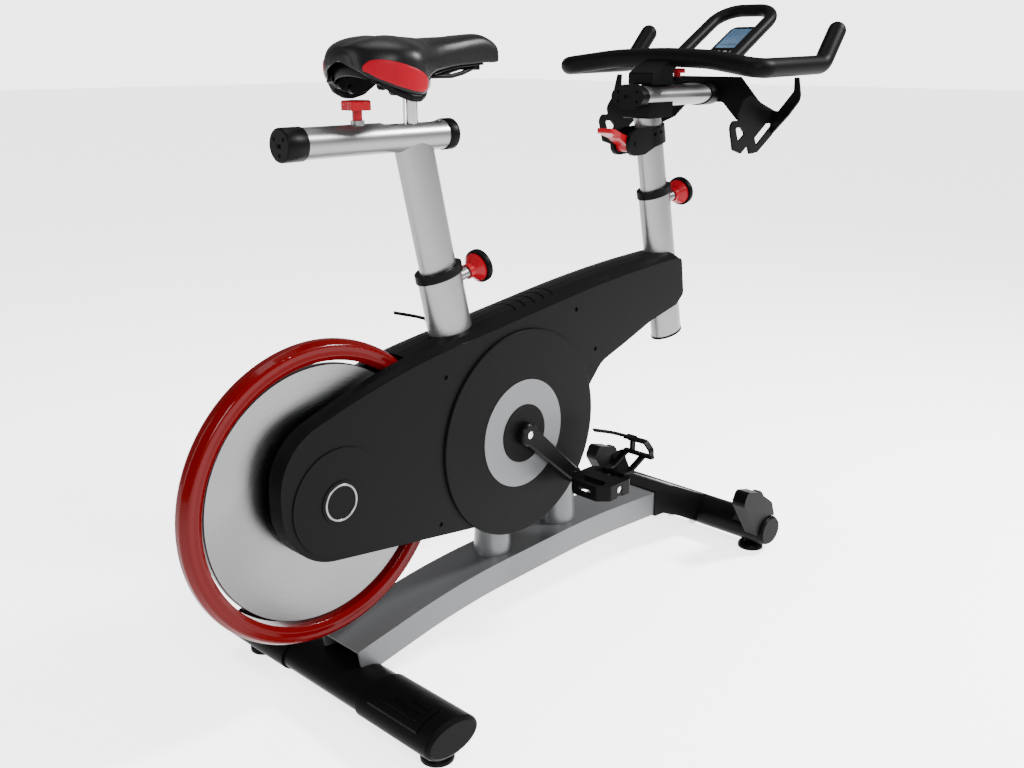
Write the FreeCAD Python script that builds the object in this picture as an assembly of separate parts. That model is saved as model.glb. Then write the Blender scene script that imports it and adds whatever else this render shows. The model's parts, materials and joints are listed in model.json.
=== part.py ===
import FreeCAD, Part
import os
from math import acos, atan2, cos, hypot, radians, sin, tan

V = FreeCAD.Vector

# Indoor spin bike, in millimetres.
# +X is forward, towards the handlebar; +Y is the rider's left; +Z is up; the floor is Z = 0.
# Every sub-part is drawn with X measured from the crank axle, and moved by CRANK_X as it is
# saved, so that the saved model has its origin at the middle of its box, on the floor.
CRANK_X = -57.0

# ---- driving dimensions -------------------------------------------------------------------
CRANK_Z = 388.0
CRANK_LENGTH = 170.0
CRANK_ANGLE = 41.5            # right crank below the horizontal, pointing forward
ARM_INNER = 61.0              # crank arm faces, as distances from the middle plane
ARM_OUTER = 75.0
SPINDLE_R = 10.0

AXLE_X = -403.0
AXLE_Z = 379.0
AXLE_R = 8.5
FLYWHEEL_R = 207.0
FLYWHEEL_HALF = 6.0
GUARD_OUTER = 244.5
GUARD_INNER = 213.0
GUARD_HALF = 18.0

BIG_PULLEY_R = 104.0
SMALL_PULLEY_R = 32.0
PULLEY_IN = 34.0
PULLEY_OUT = 45.0
BELT_THICK = 2.6

COVER_HALF = 52.0             # outer side faces of the drive cover
COVER_WALL = 4.0
COVER_CROWN = 12.0            # rise of the cover's top at the middle
SLOT_HALF = 21.0              # the slot that the flywheel and its guard run in
SLOT_R = 250.0
CRANK_PLATE_R = 188.0
TRIM_OUTER = 98.0
TRIM_INNER = 53.0
CAP_R = 87.0
BADGE_R = 35.0

SEAT_LEAN = 13.0
SEAT_FOOT = (-118.0, 579.0)   # a point on the seat tube's axis
SEAT_POST = (36.0, 21.0)      # half axes of the oval tubes, along X and along Y
SEAT_SLEEVE = (43.0, 27.0)
HEAD_LEAN = 11.75
HEAD_FOOT = (497.0, 475.0)
HEAD_POST = (34.0, 20.0)
HEAD_SLEEVE = (40.0, 24.5)
POST_GAP = 0.3                # sliding clearance round each post
LINER = 3.0                   # plastic liner between post and sleeve

SEAT_TUBE_Z = 911.0
SEAT_TUBE_R = 23.0
SEAT_TUBE_X = (-425.0, -122.0)
STEM_X = -196.0
STEM_R = 11.5
SEAT_KNOB_X = -299.0

HEAD_TUBE_Z = 955.0
HEAD_TUBE = (36.5, 20.5)      # half axes along Y and along Z
HEAD_TUBE_X = (352.0, 590.0)
BAR_R = 17.5
BAR_X = 450.0
BAR_HALF = 230.0
BAR_SWEEP = 31.0              # how far the crossbar's ends lie behind its middle
BAR_Z = 1010.0
BAR_RISE = 16.0
HORN_TIP = (700.0, 1074.0)
LOOP_R = 12.5
LOOP_HALF = 67.0
LOOP_TILT = 30.0

REAR_X = -376.0
REAR_Z = 50.0
REAR_TUBE = (50.0, 28.0)      # half axes along X and along Z
REAR_BOOT = (53.5, 31.0)
REAR_HALF = 269.0
REAR_FOOT_Y = 231.0
FRONT_X = 602.0
FRONT_Z = 50.0
FRONT_TUBE = (36.0, 33.0)
FRONT_HALF = 222.0
FRONT_FOOT_Y = 174.0
FOOT_R = 27.0
FOOT_STUD_R = 5.0
WHEEL_X = 566.0
WHEEL_Z = 124.0
WHEEL_Y = 199.0
WHEEL_R = 24.0
WHEEL_HALF = 7.5

BEAM_WIDTH = 100.0
BEAM_HEIGHT = 49.0
# middle line of the arched base beam: x, z, bend radius
BEAM_LINE = [(-376.0, 83.6, 0.0), (-150.0, 124.0, 1500.0), (200.0, 134.0, 2000.0), (438.0, 120.1, 0.0)]
POSTS_X = (-23.0, 158.0)

RUNNING = 0.05                # radial clearance of a turning fit

PEDAL_X = CRANK_LENGTH * cos(radians(CRANK_ANGLE))
PEDAL_DROP = CRANK_LENGTH * sin(radians(CRANK_ANGLE))
PEDAL_Y = 132.0
PEDAL_BORE = 7.0


# ---- small building blocks ----------------------------------------------------------------
def box(x0, x1, y0, y1, z0, z1):
    return Part.makeBox(x1 - x0, y1 - y0, z1 - z0, V(x0, y0, z0))


def rod(start, end, radius):
    return Part.makeCylinder(radius, (end - start).Length, start, end - start)


def disc(x, z, radius, y0, y1):
    """Cylinder along Y."""
    return Part.makeCylinder(radius, y1 - y0, V(x, y0, z), V(0, 1, 0))


def ring(x, z, outer, inner, y0, y1):
    return disc(x, z, outer, y0, y1).cut(disc(x, z, inner, y0 - 1, y1 + 1))


def group(*shapes):
    return Part.makeCompound([solid for shape in shapes for solid in shape.Solids])


def mirrored(shape):
    return shape.mirror(V(0, 0, 0), V(0, 1, 0))


def both_sides(shape):
    return group(shape, mirrored(shape))


def fuse(first, *others):
    return first.multiFuse(list(others)).removeSplitter()


def bend(before, corner, after, radius):
    """Start, middle and end of the arc that rounds a corner."""
    a = (before - corner).normalize()
    b = (after - corner).normalize()
    half = a.getAngle(b) / 2
    middle = corner + (a + b).normalize() * (radius / sin(half) - radius)
    reach = radius / tan(half)
    return corner + a * reach, middle, corner + b * reach


def rounded_edges(points, radii, closed):
    """Straight runs joined by tangent arcs."""
    count = len(points)
    stops = []
    for i in range(count):
        inside = closed or 0 < i < count - 1
        if inside and radii[i] > 0:
            stops.append(bend(points[i - 1], points[i], points[(i + 1) % count], radii[i]))
        else:
            stops.append((points[i], None, points[i]))
    edges = []
    for i, (start, middle, end) in enumerate(stops):
        if middle is not None:
            edges.append(Part.Arc(start, middle, end).toShape())
        if closed or i < count - 1:
            following = stops[(i + 1) % count][0]
            if (following - end).Length > 1e-6:
                edges.append(Part.LineSegment(end, following).toShape())
    return edges


def side_plate(corners, y0, y1):
    """Plate across Y from a side outline of (x, z, corner radius)."""
    points = [V(x, y0, z) for x, z, radius in corners]
    wire = Part.Wire(rounded_edges(points, [radius for x, z, radius in corners], True))
    return Part.Face(wire).extrude(V(0, y1 - y0, 0))


def front_plate(corners, x0, x1):
    """Plate along X from a front outline of (y, z, corner radius)."""
    points = [V(x0, y, z) for y, z, radius in corners]
    wire = Part.Wire(rounded_edges(points, [radius for y, z, radius in corners], True))
    return Part.Face(wire).extrude(V(x1 - x0, 0, 0))


def top_plate(corners, z0, z1):
    """Plate along Z from a plan outline of (x, y, corner radius)."""
    points = [V(x, y, z0) for x, y, radius in corners]
    wire = Part.Wire(rounded_edges(points, [radius for x, y, radius in corners], True))
    return Part.Face(wire).extrude(V(0, 0, z1 - z0))


def bent_tube(points, radii, radius):
    path = Part.Wire(rounded_edges(points, radii, False))
    profile = Part.Wire(Part.makeCircle(radius, points[0], points[1] - points[0]))
    return path.makePipeShell([profile], True, False)


def bent_strip(points, radii, across, width, thickness):
    """Flat strip along a path that lies in the plane whose normal is `across`."""
    along = (points[1] - points[0]).normalize()
    side = V(across).normalize() * (width / 2)
    up = along.cross(side).normalize() * (thickness / 2)
    start = points[0]
    profile = Part.makePolygon([start + side + up, start - side + up, start - side - up,
                                start + side - up, start + side + up])
    path = Part.Wire(rounded_edges(points, radii, False))
    return path.makePipeShell([profile], True, False)


def oval(half, length, axis="z"):
    """Oval prism from the origin. `half` gives the half axes: X and Y for a prism along Z,
    X and Z for one along Y, Y and Z for one along X."""
    a, b = half
    major, minor = max(a, b), min(a, b)
    ellipse = Part.Ellipse(V(0, 0, 0), major, minor)
    prism = Part.Face(Part.Wire(ellipse.toShape())).extrude(V(0, 0, length))
    if b > a:
        prism.rotate(V(0, 0, 0), V(0, 0, 1), 90)
    if axis == "y":
        prism.rotate(V(0, 0, 0), V(1, 0, 0), -90)
    if axis == "x":
        prism.rotate(V(0, 0, 0), V(0, 0, 1), 90)
        prism.rotate(V(0, 0, 0), V(0, 1, 0), 90)
    return prism


def oval_x(half, x0, x1, z):
    prism = oval(half, x1 - x0, "x")
    prism.translate(V(x0, 0, z))
    return prism


def oval_y(half, x, y0, y1, z):
    prism = oval(half, y1 - y0, "y")
    prism.translate(V(x, y0, z))
    return prism


def grown(half, by):
    return half[0] + by, half[1] + by


# A leaning tube's own frame: distances along its axis are measured from its foot point.
def lean_place(shape, foot, lean):
    shape.rotate(V(0, 0, 0), V(0, 1, 0), -lean)
    shape.translate(V(foot[0], 0, foot[1]))
    return shape


def lean_oval(half, foot, lean, s0, s1):
    prism = oval(half, s1 - s0)
    prism.translate(V(0, 0, s0))
    return lean_place(prism, foot, lean)


def lean_point(foot, lean, s, forward=0.0):
    a = radians(lean)
    return V(foot[0] - s * sin(a) + forward * cos(a), 0, foot[1] + s * cos(a) + forward * sin(a))


# Stations along the two leaning tubes, as distances from their foot points.
SEAT_BOTTOM = -132.0
SEAT_TOP = 112.0
SEAT_POST_BOTTOM = -45.0
SEAT_PIN = 92.0
HEAD_BOTTOM = 0.0
HEAD_TOP = 300.0
HEAD_POST_BOTTOM = 72.0
HEAD_POST_TOP = 462.0
HEAD_PIN = 277.0
COLLAR = 14.0


# ---- base ---------------------------------------------------------------------------------
def rear_tube_space(extra=0.0):
    return oval_y(grown(REAR_TUBE, extra), REAR_X, -REAR_HALF + 7, REAR_HALF - 7, REAR_Z)


def front_tube_space(extra=0.0):
    return oval_y(grown(FRONT_TUBE, extra), FRONT_X, -FRONT_HALF + 16, FRONT_HALF - 16, FRONT_Z)


def stud_hole(x, y):
    hole = rod(V(x, y, -1), V(x, y, 60), FOOT_STUD_R + RUNNING)
    return group(hole, mirrored(hole))


def base_beam():
    points = [V(x, 0, z) for x, z, radius in BEAM_LINE]
    radii = [radius for x, z, radius in BEAM_LINE]
    beam = bent_strip(points, radii, V(0, 1, 0), BEAM_WIDTH, BEAM_HEIGHT)
    hollow = bent_strip(points, radii, V(0, 1, 0), BEAM_WIDTH - 8, BEAM_HEIGHT - 8)
    return beam.cut(hollow).cut(rear_tube_space()).Solids[0]


def rear_stabilizer():
    tube = rear_tube_space().cut(oval_y(grown(REAR_TUBE, -3), REAR_X, -REAR_HALF, REAR_HALF, REAR_Z))
    return tube.cut(stud_hole(REAR_X, REAR_FOOT_Y))


def rear_boot():
    """Left boot: a rubber sleeve with a rounded end and a ribbed step on top."""
    start = 100.0
    shell = oval_y(REAR_BOOT, REAR_X, start, REAR_HALF - 7, REAR_Z)
    end_rings = []
    for inset, y in ((0.0, REAR_HALF - 7), (1.5, REAR_HALF - 3), (6.0, REAR_HALF)):
        a, b = grown(REAR_BOOT, -inset)
        ellipse = Part.Ellipse(V(0, 0, 0), a, b).toShape()
        ellipse.rotate(V(0, 0, 0), V(1, 0, 0), -90)
        ellipse.translate(V(REAR_X, y, REAR_Z))
        end_rings.append(Part.Wire(ellipse))
    end = Part.makeLoft(end_rings, True, True)
    step = oval_y(grown(REAR_BOOT, 3), REAR_X, 122, 236, REAR_Z)
    step = step.common(box(REAR_X - 46, REAR_X + 2, 120, 238, REAR_Z + 14, REAR_Z + 50))
    boot = fuse(shell, end, step)
    for x, length in ((-34.0, 88.0), (-21.0, 66.0), (-8.0, 38.0)):
        rib = oval_y(grown(REAR_BOOT, 4.5), REAR_X, 226 - length, 226, REAR_Z)
        rib = rib.common(box(REAR_X + x - 2, REAR_X + x + 2, 120, 236, REAR_Z + 14, REAR_Z + 50))
        boot = fuse(boot, rib)
    return boot.cut(rear_tube_space(0.2)).cut(stud_hole(REAR_X, REAR_FOOT_Y))


def front_stabilizer():
    """Cross tube with the bracket that takes the front end of the base beam."""
    start = 410.0
    bracket = side_plate([(start, 93, 4), (start, 149, 4), (470, 147, 60), (FRONT_X, 84, 10),
                          (FRONT_X, 17, 10), (500, 66, 80), (440, 92, 30)], -53, 53)
    points = [V(x, 0, z) for x, z, radius in BEAM_LINE]
    radii = [radius for x, z, radius in BEAM_LINE]
    beam = bent_strip(points, radii, V(0, 1, 0), BEAM_WIDTH, BEAM_HEIGHT)
    bore = oval_y(grown(FRONT_TUBE, -3), FRONT_X, -FRONT_HALF, FRONT_HALF, FRONT_Z)
    tube = front_tube_space().cut(stud_hole(FRONT_X, FRONT_FOOT_Y))
    return fuse(tube, bracket.cut(beam)).cut(bore)


def front_end_cap():
    rings = []
    for a, b, y in ((36.0, 33.0, FRONT_HALF - 16), (35.5, 31.5, FRONT_HALF - 5), (32.0, 28.0, FRONT_HALF)):
        ellipse = Part.Ellipse(V(0, 0, 0), a, b).toShape()
        ellipse.rotate(V(0, 0, 0), V(1, 0, 0), -90)
        ellipse.translate(V(FRONT_X, y, FRONT_Z))
        rings.append(Part.Wire(ellipse))
    plug = oval_y(grown(FRONT_TUBE, -3.2), FRONT_X, FRONT_HALF - 30, FRONT_HALF - 16, FRONT_Z)
    return fuse(Part.makeLoft(rings, True, True), plug)


def end_caps():
    return group(both_sides(rear_boot()), both_sides(front_end_cap()))


def wheel_housing():
    shape = side_plate([(560, 50, 0), (498, 138, 14), (512, 163, 12), (556, 151, 12), (612, 112, 14),
                        (626, 76, 12), (600, 50, 0)], WHEEL_Y - 15, WHEEL_Y + 15)
    web = front_plate([(150, 70, 0), (WHEEL_Y - 14, 134, 0), (WHEEL_Y - 14, 70, 0)], 560, 600)
    pocket = disc(WHEEL_X, WHEEL_Z, WHEEL_R + 3, WHEEL_Y - WHEEL_HALF - 1.5, WHEEL_Y + WHEEL_HALF + 1.5)
    pin = disc(WHEEL_X, WHEEL_Z, 4, WHEEL_Y - 15, WHEEL_Y + 15)
    tube = oval_y(FRONT_TUBE, FRONT_X, 0, 300, FRONT_Z)
    return fuse(shape, web).cut(pocket).fuse(pin).cut(tube)


def transport_wheel():
    tyre = disc(WHEEL_X, WHEEL_Z, WHEEL_R, WHEEL_Y - WHEEL_HALF, WHEEL_Y + WHEEL_HALF)
    tyre = tyre.makeFillet(2.5, [e for e in tyre.Edges if e.Closed and len(e.Vertexes) == 1])
    return tyre.cut(disc(WHEEL_X, WHEEL_Z, 4 + RUNNING, 0, 300))


def levelling_foot(x, y):
    pad = Part.makeCone(FOOT_R, FOOT_R - 3, 5, V(x, y, 6))
    base = Part.makeCylinder(FOOT_R, 6, V(x, y, 0))
    neck = Part.makeCone(15, 11, 4, V(x, y, 11))
    stud = rod(V(x, y, 14), V(x, y, 40), FOOT_STUD_R)
    return fuse(base, pad, neck, stud)


def stabilizer_bolts():
    """Hexagon heads under the ends of the base beam and beside the rear feet."""
    heads = []
    for x, y, top in ((FRONT_X - 36 + 22, 30, 23.0), (REAR_X - 18, 150, 20.5), (REAR_X + 22, 205, 21.5)):
        hexagon = [(x + 8 * cos(radians(60 * k)), y + 8 * sin(radians(60 * k)), 0) for k in range(6)]
        head = top_plate(hexagon, top - 8, top + 6)
        heads.append(head)
    solids = [both_sides(head) for head in heads]
    cutter = group(rear_tube_space(), both_sides(rear_boot()), front_stabilizer())
    return group(*[solid.cut(cutter) for solid in solids])


# ---- welded frame inside the cover ---------------------------------------------------------
def post_shape(x, top, extra=0.0):
    foot = Part.makeCone(36 + extra, 28 + extra, 150, V(x, 0, 140))
    return fuse(foot, Part.makeCylinder(28 + extra, top - 290, V(x, 0, 290)))


def seat_sleeve_space(extra=0.0):
    return lean_oval(grown(SEAT_SLEEVE, extra), SEAT_FOOT, SEAT_LEAN, SEAT_BOTTOM, SEAT_TOP)


def head_sleeve_space(extra=0.0):
    return lean_oval(grown(HEAD_SLEEVE, extra), HEAD_FOOT, HEAD_LEAN, HEAD_BOTTOM, HEAD_TOP)


def main_frame():
    """Spine, crank shell, the two side plates that hold the flywheel, and the two posts."""
    spine = side_plate([(-95, 490, 0), (-95, 540, 0), (470, 623, 0), (470, 573, 0)], -20, 20)
    shell = disc(0, CRANK_Z, 24, -31, 31)
    strut = rod(V(0, 0, CRANK_Z), V(0, 0, 520), 20)
    rear_post = post_shape(POSTS_X[0], CRANK_Z)
    front_post = post_shape(POSTS_X[1], 540)
    angle = atan2(AXLE_Z - CRANK_Z, AXLE_X)
    plates = []
    for y0, y1 in ((-31.0, -27.0), (27.0, 31.0)):
        edge = side_plate([(AXLE_X, AXLE_Z + 30, 0), (0, CRANK_Z + 38, 0), (0, CRANK_Z - 38, 0),
                           (AXLE_X, AXLE_Z - 30, 0)], y0, y1)
        plates.append(edge)
        plates.append(disc(AXLE_X, AXLE_Z, 30, y0, y1))
        plates.append(disc(0, CRANK_Z, 38, y0, y1))
    frame = fuse(spine, shell, strut, rear_post, front_post, *plates)
    bores = group(disc(0, CRANK_Z, 18, -40, 40), disc(AXLE_X, AXLE_Z, 14, -40, 40))
    inside_spine = side_plate([(-95, 495, 0), (-95, 535, 0), (470, 618, 0), (470, 578, 0)], -15, 15)
    inside_rear = post_shape(POSTS_X[0], CRANK_Z - 32, -4)
    inside_front = post_shape(POSTS_X[1], 530, -4)
    frame = frame.cut(inside_spine).cut(inside_rear).cut(inside_front)
    return frame.cut(bores).cut(seat_sleeve_space()).cut(head_sleeve_space()).cut(base_beam_solid())


def base_beam_solid():
    points = [V(x, 0, z) for x, z, radius in BEAM_LINE]
    radii = [radius for x, z, radius in BEAM_LINE]
    beam = bent_strip(points, radii, V(0, 1, 0), BEAM_WIDTH, BEAM_HEIGHT)
    return fuse(beam, box(-200, 350, -50, 50, 90, 140))


def pin_boss(foot, lean, sleeve_half, s):
    """Steel boss on the front of a sleeve that guides its pull pin."""
    start = lean_point(foot, lean, s, sleeve_half - 3)
    end = lean_point(foot, lean, s, sleeve_half + 16)
    return rod(start, end, 10)


def pin_bore(foot, lean, s):
    return rod(lean_point(foot, lean, s, 0), lean_point(foot, lean, s, 90), 5 + RUNNING)


def post_sleeves():
    seat = fuse(seat_sleeve_space(), pin_boss(SEAT_FOOT, SEAT_LEAN, SEAT_SLEEVE[0], SEAT_PIN))
    seat_bore = lean_oval(grown(SEAT_POST, POST_GAP + LINER), SEAT_FOOT, SEAT_LEAN, SEAT_BOTTOM - 1, SEAT_TOP + 1)
    head = fuse(head_sleeve_space(), pin_boss(HEAD_FOOT, HEAD_LEAN, HEAD_SLEEVE[0], HEAD_PIN))
    head_bore = lean_oval(grown(HEAD_POST, POST_GAP + LINER), HEAD_FOOT, HEAD_LEAN, HEAD_BOTTOM - 1, HEAD_TOP + 1)
    seat = seat.cut(seat_bore).cut(pin_bore(SEAT_FOOT, SEAT_LEAN, SEAT_PIN))
    head = head.cut(head_bore).cut(pin_bore(HEAD_FOOT, HEAD_LEAN, HEAD_PIN))
    return group(seat, head)


def collar(foot, lean, sleeve, post, top, bottom):
    """Flanged liner: a cap ring on the sleeve's mouth and a sleeve-long liner round the post."""
    cap = lean_oval(grown(sleeve, 3), foot, lean, top - 4, top + COLLAR - 4)
    liner = lean_oval(grown(post, POST_GAP + LINER), foot, lean, bottom, top)
    bore = lean_oval(grown(post, POST_GAP), foot, lean, bottom - 1, top + COLLAR)
    outside = lean_oval(sleeve, foot, lean, top - 10, top)
    return fuse(cap.cut(outside), liner).cut(bore)


def sleeve_collars():
    seat = collar(SEAT_FOOT, SEAT_LEAN, SEAT_SLEEVE, SEAT_POST, SEAT_TOP, SEAT_BOTTOM)
    seat = seat.cut(pin_bore(SEAT_FOOT, SEAT_LEAN, SEAT_PIN))
    head = collar(HEAD_FOOT, HEAD_LEAN, HEAD_SLEEVE, HEAD_POST, HEAD_TOP, HEAD_BOTTOM + 8)
    head = head.cut(pin_bore(HEAD_FOOT, HEAD_LEAN, HEAD_PIN))
    plug = lean_oval(grown(HEAD_SLEEVE, 1), HEAD_FOOT, HEAD_LEAN, HEAD_BOTTOM - 4, HEAD_BOTTOM)
    stem = lean_oval(grown(HEAD_POST, POST_GAP + LINER - 0.1), HEAD_FOOT, HEAD_LEAN, HEAD_BOTTOM, HEAD_BOTTOM + 7)
    return group(seat, head, fuse(plug, stem))


# ---- drive cover ---------------------------------------------------------------------------
def cover_outline(raise_top):
    return [(-508, 485, 100), (-279, 558.6 + raise_top, 1300), (271, 632.8 + raise_top, 3000),
            (468, 641 + raise_top, 12), (479, 565, 10), (456, 546, 8), (371, 526, 60), (293, 498, 60),
            (221, 474, 60), (176, 425, 40), (120, 300, 0), (0, 225, 0), (-508, 298, 106)]


def cover_solid():
    """Whole outer form of both halves: planar sides and a crowned top."""
    layers = []
    for share, y in ((0.0, -COVER_HALF), (0.0, -COVER_HALF + 3), (0.55, -36.0), (0.88, -18.0), (1.0, 0.0)):
        corners = cover_outline(COVER_CROWN * share)
        points = [V(x, y, z) for x, z, radius in corners]
        radii = [radius for x, z, radius in corners]
        layers.append(Part.Wire(rounded_edges(points, radii, True)))
    half = Part.makeLoft(layers, True, True)
    body = fuse(half, mirrored(half))
    return fuse(body, disc(0, CRANK_Z, CRANK_PLATE_R - 3, -COVER_HALF, COVER_HALF))


def cover_cavity():
    inside = COVER_HALF - COVER_WALL
    corners = cover_outline(0)
    wire = Part.Wire(rounded_edges([V(x, -inside, z) for x, z, r in corners],
                                   [r for x, z, r in corners], True))
    inner = wire.makeOffset2D(-COVER_WALL)
    body = Part.Face(inner).extrude(V(0, 2 * inside, 0))
    body = fuse(body, disc(0, CRANK_Z, CRANK_PLATE_R - 3 - COVER_WALL, -inside, inside))
    slot_wall = disc(AXLE_X, AXLE_Z, SLOT_R + COVER_WALL, -SLOT_HALF - COVER_WALL, SLOT_HALF + COVER_WALL)
    return body.cut(slot_wall)


def screw_holes():
    holes = []
    for x, z in ((-180, 529), (-197, 274), (144, 588), (201, 503)):
        holes.append(disc(x, z, 4.2, COVER_HALF - 3, COVER_HALF + 1))
    return both_sides(group(*holes))


def vent_grooves():
    """Five shallow curved grooves across the cover's top."""
    grooves = []
    for k in range(5):
        x = 8 + 24 * k
        z = 604.4 + 0.1349 * x
        groove = bent_tube([V(x, -30, z), V(x + 12, 0, z + 7), V(x, 30, z)], [0, 40, 0], 2.2)
        grooves.append(groove)
    return group(*grooves)


def drive_cover():
    whole = cover_solid().cut(cover_cavity())
    slot = disc(AXLE_X, AXLE_Z, SLOT_R, -SLOT_HALF, SLOT_HALF)
    holes = group(disc(0, CRANK_Z, 13, -60, 60), disc(AXLE_X, AXLE_Z, 13, -30, 30),
                  disc(CALIPER_PIN[0], CALIPER_PIN[1], 4 + RUNNING, -SLOT_HALF - 6, SLOT_HALF + 6),
                  post_shape(POSTS_X[0], 300, 0.5), post_shape(POSTS_X[1], 480, 0.5),
                  seat_sleeve_space(0.3), head_sleeve_space(0.3))
    return whole.cut(slot).cut(holes).cut(screw_holes()).cut(vent_grooves())


def drive_cover_right():
    return DRIVE_COVER.common(box(-700, 700, -80, 0, 0, 900))


def drive_cover_left():
    return DRIVE_COVER.common(box(-700, 700, 0, 80, 0, 900))


def cover_plates():
    """Round crank covers and the caps over the flywheel axle, both sides."""
    crank = disc(0, CRANK_Z, CRANK_PLATE_R, COVER_HALF, COVER_HALF + 5)
    crank = crank.makeFillet(2.0, [e for e in crank.Edges if e.Closed and e.BoundBox.YMin > COVER_HALF + 4])
    groove = ring(0, CRANK_Z, TRIM_OUTER + 0.3, TRIM_INNER - 0.3, COVER_HALF + 3, COVER_HALF + 6)
    hub = disc(0, CRANK_Z, TRIM_INNER - 0.3, COVER_HALF + 4, COVER_HALF + 7.5)
    crank = fuse(crank.cut(groove), hub).cut(disc(0, CRANK_Z, 13, 0, 80))
    cap = disc(AXLE_X, AXLE_Z, CAP_R, COVER_HALF, COVER_HALF + 2)
    badge = disc(AXLE_X, AXLE_Z, BADGE_R, COVER_HALF, COVER_HALF + 3.5)
    return group(both_sides(crank), both_sides(fuse(cap, badge)))


def trim_rings():
    plate = ring(0, CRANK_Z, TRIM_OUTER, TRIM_INNER, COVER_HALF + 3, COVER_HALF + 6)
    return both_sides(plate)


def guard_ring():
    """Guard round the flywheel's rim: a ridged band from inside the cover's top to its underside."""
    start, end = 42.0, 338.0
    inner, outer, half = GUARD_INNER, GUARD_OUTER, GUARD_HALF
    corners = [(inner, -half + 5, 2), (inner + 8, -half, 4), (inner + 15, -half + 1, 3), (outer - 7, -half, 6),
               (outer, -half + 12, 8), (outer, half - 12, 8), (outer - 7, half, 6), (inner + 15, half - 1, 3),
               (inner + 8, half, 4), (inner, half - 5, 2)]
    points = [V(r, y, 0) for r, y, radius in corners]
    section = Part.Face(Part.Wire(rounded_edges(points, [radius for r, y, radius in corners], True)))
    section.rotate(V(0, 0, 0), V(0, 1, 0), -start)
    section.translate(V(AXLE_X, 0, AXLE_Z))
    band = section.revolve(V(AXLE_X, 0, AXLE_Z), V(0, -1, 0), end - start)
    tabs = []
    for angle in (start + 1.2, end - 1.2):
        tab = box(GUARD_INNER + 8, GUARD_OUTER - 6, -SLOT_HALF, SLOT_HALF, -4, 4)
        tab.rotate(V(0, 0, 0), V(0, 1, 0), -angle)
        tab.translate(V(AXLE_X, 0, AXLE_Z))
        tabs.append(tab)
    return fuse(band, *tabs)


# ---- flywheel and drive ---------------------------------------------------------------------
def flywheel():
    wheel = disc(AXLE_X, AXLE_Z, FLYWHEEL_R, -FLYWHEEL_HALF, FLYWHEEL_HALF)
    wheel = wheel.makeChamfer(1.5, [e for e in wheel.Edges if e.Closed and len(e.Vertexes) == 1])
    hub = disc(AXLE_X, AXLE_Z, 42, -14, 14)
    axle = disc(AXLE_X, AXLE_Z, AXLE_R, -47, 36)
    return fuse(wheel, hub, axle)


def flywheel_pulley():
    body = disc(AXLE_X, AXLE_Z, SMALL_PULLEY_R, -PULLEY_OUT, -PULLEY_IN)
    return body.cut(disc(AXLE_X, AXLE_Z, AXLE_R, -50, 0))


def drive_pulley():
    body = disc(0, CRANK_Z, BIG_PULLEY_R, -PULLEY_OUT, -PULLEY_IN)
    body = body.cut(ring(0, CRANK_Z, BIG_PULLEY_R - 10, 26, -PULLEY_OUT - 1, -PULLEY_OUT + 3))
    for k in range(5):
        a = radians(72 * k + 36)
        hole = disc(60 * cos(a), CRANK_Z + 60 * sin(a), 21, -60, 0)
        body = body.cut(hole)
    return body.cut(disc(0, CRANK_Z, SPINDLE_R, -60, 0))


def belt_loop(extra):
    """Solid that a belt of the given extra radius encloses, across the belt's width."""
    big, small = BIG_PULLEY_R + extra, SMALL_PULLEY_R + extra
    length = hypot(AXLE_X, AXLE_Z - CRANK_Z)
    tilt = atan2(AXLE_Z - CRANK_Z, AXLE_X)
    spread = acos((big - small) / length)
    corners = []
    for centre, radius in (((0.0, CRANK_Z), big), ((AXLE_X, AXLE_Z), small)):
        for sign in (1, -1):
            a = tilt + sign * spread
            corners.append((centre[0] + radius * cos(a), centre[1] + radius * sin(a), 0))
    y0, y1 = -PULLEY_OUT + 0.5, -PULLEY_IN - 0.5
    middle = side_plate([corners[0], corners[2], corners[3], corners[1]], y0, y1)
    return fuse(middle, disc(0, CRANK_Z, big, y0, y1), disc(AXLE_X, AXLE_Z, small, y0, y1))


def drive_belt():
    return belt_loop(0.3 + BELT_THICK).cut(belt_loop(0.3))


def bearings():
    crank = ring(0, CRANK_Z, 18, SPINDLE_R + RUNNING, 20, 31)
    wheel = ring(AXLE_X, AXLE_Z, 14, AXLE_R + RUNNING, 27, 31)
    return group(both_sides(crank), both_sides(wheel))


def crank_spindle():
    shaft = disc(0, CRANK_Z, SPINDLE_R, -ARM_OUTER + 4, ARM_OUTER - 4)
    heads = both_sides(disc(0, CRANK_Z, 7, ARM_OUTER - 4, ARM_OUTER - 1))
    return fuse(shaft, *heads.Solids)


def crank_arm(side):
    """side -1 is the right arm, forward and down; +1 is the left arm, opposite."""
    px, pz = -side * PEDAL_X, CRANK_Z + side * PEDAL_DROP
    y0, y1 = sorted((side * ARM_INNER, side * ARM_OUTER))
    across = V(-(pz - CRANK_Z), 0, px).normalize()
    a, b = across * 17, across * 13
    web = side_plate([(a.x, CRANK_Z + a.z, 0), (px + b.x, pz + b.z, 0), (px - b.x, pz - b.z, 0),
                      (-a.x, CRANK_Z - a.z, 0)], y0, y1)
    arm = fuse(web, disc(0, CRANK_Z, 21, y0, y1), disc(px, pz, 15.5, y0, y1))
    outer = [e for e in arm.Edges if abs(e.BoundBox.YMin - side * ARM_OUTER) < 0.01
             and abs(e.BoundBox.YMax - side * ARM_OUTER) < 0.01]
    arm = arm.makeChamfer(3.0, outer)
    arm = arm.cut(disc(0, CRANK_Z, SPINDLE_R, -ARM_OUTER + 4, ARM_OUTER - 4))
    arm = arm.cut(disc(0, CRANK_Z, 7, -90, 90))
    return arm.cut(disc(px, pz, PEDAL_BORE, -90, 90))


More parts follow.
